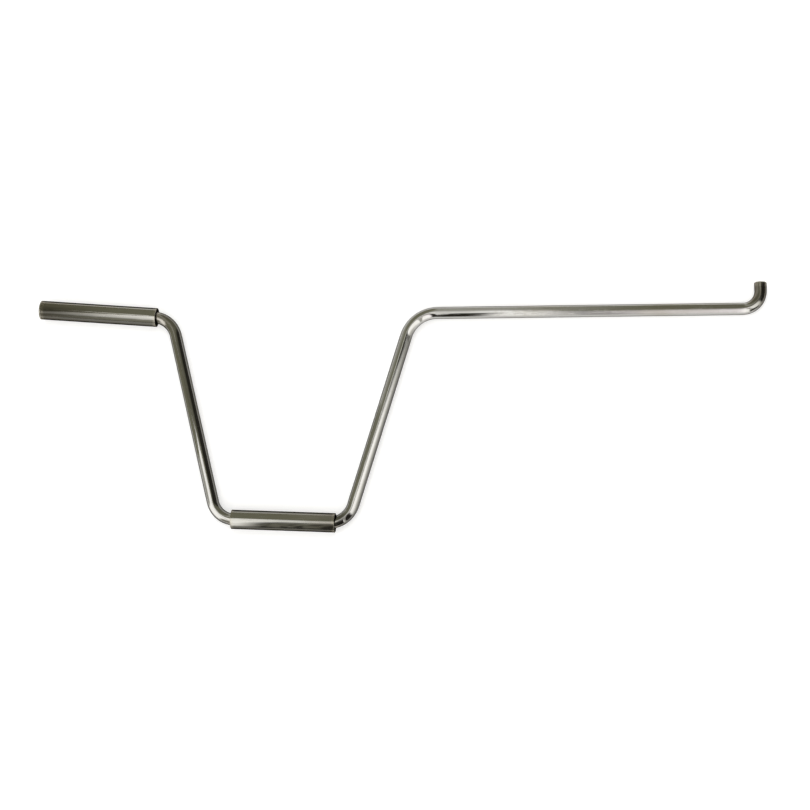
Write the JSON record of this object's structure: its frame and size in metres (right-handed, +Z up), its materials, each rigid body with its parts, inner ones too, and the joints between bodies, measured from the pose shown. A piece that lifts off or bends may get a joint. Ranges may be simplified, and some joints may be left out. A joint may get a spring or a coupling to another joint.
{
  "type": "crank handle",
  "caption": "Bent round-bar crank handle with a hooked drive pin at one end and two loose tube sleeves to turn it by.",
  "frame": {"origin": "on the axis of the hook pin at the driving end, where the straight pin leaves its bend; the floor that the crank lies on is 6 mm below", "axes": "+Y along the hook pin towards its tip, +Z up from the floor, the shaft runs off to -X"},
  "size_m": [0.7247, 0.2433, 0.019],
  "materials": {
    "bar_chrome": "bright plated round bar with fine drawing marks and light wear",
    "sleeve_chrome": "bright plated tube, slightly duller than the bar from handling",
    "washer_chrome": "plated washer"
  },
  "bodies": {
    "crank": {"crank_rod": "bar_chrome", "end_washer": "washer_chrome"},
    "end_grip": {"end_sleeve": "sleeve_chrome"},
    "mid_grip": {"mid_sleeve": "sleeve_chrome"}
  },
  "joints": [
    {"name": "end_grip_spin", "type": "hinge", "parent": "crank", "child": "end_grip", "pos_m": [-0.65653, -0.01386, 0.0035], "axis": [-0.9969, 0.0785, 0], "continuous": true},
    {"name": "mid_grip_spin", "type": "hinge", "parent": "crank", "child": "mid_grip", "pos_m": [-0.46487, -0.22354, 0.0035], "axis": [-0.9994, 0.0349, 0], "continuous": true}
  ]
}
